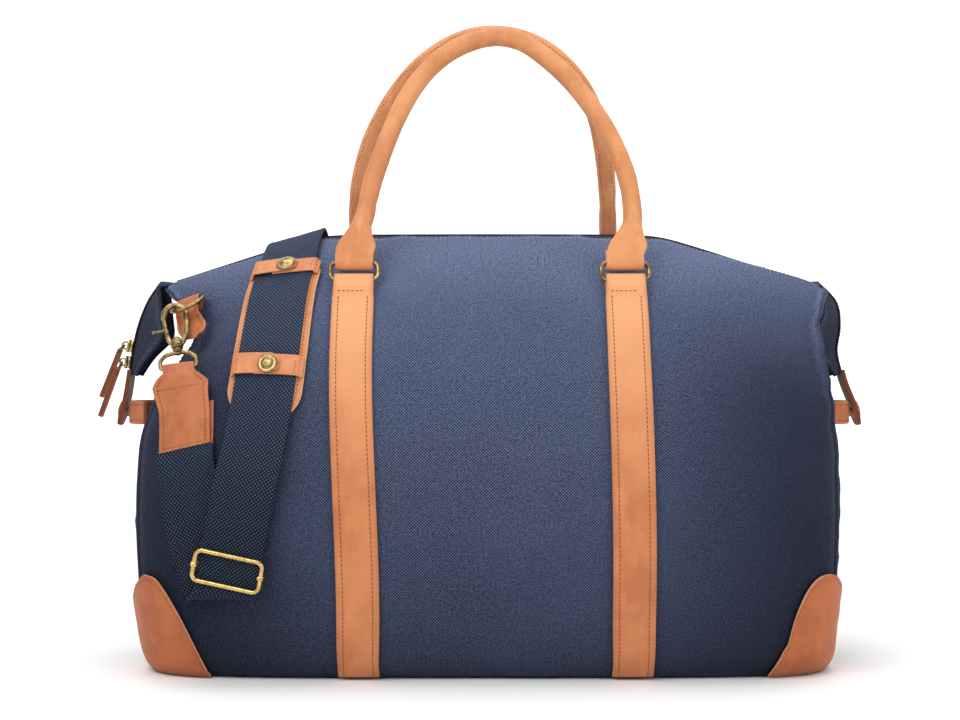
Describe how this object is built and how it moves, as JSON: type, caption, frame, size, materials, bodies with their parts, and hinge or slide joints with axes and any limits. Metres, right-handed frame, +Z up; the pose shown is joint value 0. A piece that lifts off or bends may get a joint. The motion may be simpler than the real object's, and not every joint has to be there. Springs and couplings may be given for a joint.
{
  "type": "weekender bag",
  "caption": "Soft travel bag of navy canvas with tan leather straps, rolled handles on rings, a zip top with drop ends and a webbing shoulder strap on swivel hooks.",
  "frame": {"origin": "on the floor under the middle of the bag: the middle of the bottom panel's flat underside", "axes": "+Z up, +X along the bag towards its right end as seen from the front, -Y out of the front face that carries the shoulder pad"},
  "size_m": [0.6171, 0.2825, 0.5072],
  "materials": {
    "canvas": "washed cotton canvas, navy",
    "lining": "plain woven lining, dark navy",
    "base_board": "stiff fibre board",
    "zip_teeth": "darkened zip teeth",
    "antique_brass": "antique brass, satin",
    "bright_brass": "brighter brass, satin",
    "webbing": "coarse woven webbing, dark navy",
    "leather": "tan leather, matt"
  },
  "bodies": {
    "shell": {"front_panel": "canvas", "back_panel": "canvas", "side_panel_left": "canvas", "side_panel_right": "canvas", "bottom_panel": "canvas", "base_board": "base_board", "lining": "lining", "zip_tape_front": "canvas", "zip_tape_rear": "canvas", "zip_chain": "zip_teeth", "side_tab_left": "leather", "side_tab_right": "leather", "side_stud_left": "antique_brass", "side_stud_right": "antique_brass", "strap_front_left": "leather", "strap_front_right": "leather", "strap_rear_left": "leather", "strap_rear_right": "leather", "corner_cap_front_left": "leather", "corner_cap_front_right": "leather", "corner_cap_rear_left": "leather", "corner_cap_rear_right": "leather", "d_ring_tab_left": "leather", "d_ring_tab_right": "leather", "swivel_eye_left": "antique_brass", "swivel_eye_right": "antique_brass", "strap_end_left": "leather", "strap_end_right": "leather", "webbing": "webbing", "shoulder_pad": "leather", "band_under_upper": "leather", "band_under_lower": "leather"},
    "front_rings": {"ring_front_left": "antique_brass", "ring_front_right": "antique_brass"},
    "front_handle": {"handle_front": "leather"},
    "rear_rings": {"ring_rear_left": "antique_brass", "ring_rear_right": "antique_brass"},
    "rear_handle": {"handle_rear": "leather"},
    "left_wing": {"wing_left": "canvas", "zip_end_tab_left": "leather", "end_snap_left": "antique_brass"},
    "right_wing": {"wing_right": "canvas", "zip_end_tab_right": "leather", "end_snap_right": "antique_brass"},
    "zip_slider_a": {"zip_slider_a": "antique_brass"},
    "zip_slider_b": {"zip_slider_b": "antique_brass"},
    "zip_pull_a": {"zip_pull_a": "leather"},
    "zip_pull_b": {"zip_pull_b": "leather"},
    "d_ring_left": {"d_ring_left": "antique_brass"},
    "d_ring_right": {"d_ring_right": "antique_brass"},
    "hook_left": {"hook_body_left": "antique_brass"},
    "hook_right": {"hook_body_right": "antique_brass"},
    "gate_left": {"hook_gate_left": "antique_brass"},
    "gate_right": {"hook_gate_right": "antique_brass"},
    "strap_slider": {"strap_slider": "bright_brass"},
    "band_upper": {"band_over_upper": "leather", "band_snap_upper": "antique_brass"},
    "band_lower": {"band_over_lower": "leather", "band_snap_lower": "antique_brass"}
  },
  "joints": [
    {"name": "front_rings_swing", "type": "hinge", "parent": "shell", "child": "front_rings", "pos_m": [0, -0.07656, 0.30229], "axis": [1, 0, 0], "range_deg": [0, 60]},
    {"name": "front_handle_swing", "type": "hinge", "parent": "front_rings", "child": "front_handle", "pos_m": [0, -0.07244, 0.31536], "axis": [1, 0, 0], "range_deg": [0, 90]},
    {"name": "rear_rings_swing", "type": "hinge", "parent": "shell", "child": "rear_rings", "pos_m": [0, 0.07656, 0.30229], "axis": [-1, 0, 0], "range_deg": [0, 60]},
    {"name": "rear_handle_swing", "type": "hinge", "parent": "rear_rings", "child": "rear_handle", "pos_m": [0, 0.07244, 0.31536], "axis": [-1, 0, 0], "range_deg": [0, 90]},
    {"name": "left_wing_lift", "type": "hinge", "parent": "shell", "child": "left_wing", "pos_m": [-0.263, 0, 0.303], "axis": [0, 1, 0], "range_deg": [0, 75]},
    {"name": "right_wing_lift", "type": "hinge", "parent": "shell", "child": "right_wing", "pos_m": [0.263, 0, 0.303], "axis": [0, -1, 0], "range_deg": [0, 75]},
    {"name": "zip_slider_a_slide", "type": "slide", "parent": "left_wing", "child": "zip_slider_a", "axis": [0.2195, 0, 0.9756], "range_m": [0, 0.02]},
    {"name": "zip_slider_b_slide", "type": "slide", "parent": "left_wing", "child": "zip_slider_b", "axis": [0.13, 0, 0.9915], "range_m": [0, 0.02]},
    {"name": "zip_pull_a_swing", "type": "hinge", "parent": "zip_slider_a", "child": "zip_pull_a", "pos_m": [-0.29579, 0, 0.25268], "axis": [0, 1, 0], "range_deg": [0, 90]},
    {"name": "zip_pull_b_swing", "type": "hinge", "parent": "zip_slider_b", "child": "zip_pull_b", "pos_m": [-0.29786, 0, 0.23917], "axis": [0, 1, 0], "range_deg": [0, 20]},
    {"name": "d_ring_left_swing", "type": "hinge", "parent": "shell", "child": "d_ring_left", "pos_m": [-0.23395, -0.05232, 0.28597], "axis": [0.9082, -0.261, 0.3272], "range_deg": [-2, 3.5]},
    {"name": "d_ring_right_swing", "type": "hinge", "parent": "shell", "child": "d_ring_right", "pos_m": [0.23395, 0.05232, 0.28597], "axis": [-0.9082, 0.261, 0.3272], "range_deg": [-2, 3.5]},
    {"name": "hook_left_swivel", "type": "hinge", "parent": "shell", "child": "hook_left", "pos_m": [-0.23409, -0.1, 0.23458], "axis": [-0.1624, 0.5895, 0.7913], "range_deg": [-6, 8]},
    {"name": "hook_right_swivel", "type": "hinge", "parent": "shell", "child": "hook_right", "pos_m": [0.23409, 0.1, 0.23458], "axis": [0.1624, -0.5895, 0.7913], "range_deg": [-6, 8]},
    {"name": "gate_left_open", "type": "hinge", "parent": "hook_left", "child": "gate_left", "pos_m": [-0.2464, -0.08151, 0.26062], "axis": [-0.1031, 0.7874, -0.6078], "range_deg": [0, 25], "stiffness_Nm_per_rad": 0.02},
    {"name": "gate_right_open", "type": "hinge", "parent": "hook_right", "child": "gate_right", "pos_m": [0.2464, 0.08151, 0.26062], "axis": [0.1031, -0.7874, -0.6078], "range_deg": [0, 25], "stiffness_Nm_per_rad": 0.02},
    {"name": "strap_slider_slide", "type": "slide", "parent": "shell", "child": "strap_slider", "axis": [0.1925, -0.0839, 0.9777], "range_m": [0, 0.025]},
    {"name": "band_upper_open", "type": "hinge", "parent": "shell", "child": "band_upper", "pos_m": [-0.18416, -0.055, 0.30867], "axis": [-0.1118, -0.7585, -0.642], "range_deg": [0, 110]},
    {"name": "band_lower_open", "type": "hinge", "parent": "shell", "child": "band_lower", "pos_m": [-0.19215, -0.10938, 0.23645], "axis": [-0.0762, -0.376, -0.9235], "range_deg": [0, 110]}
  ],
  "couplings": [
    {"joint": "zip_slider_b_slide", "follows": "zip_slider_a_slide", "ratio": 1}
  ]
}
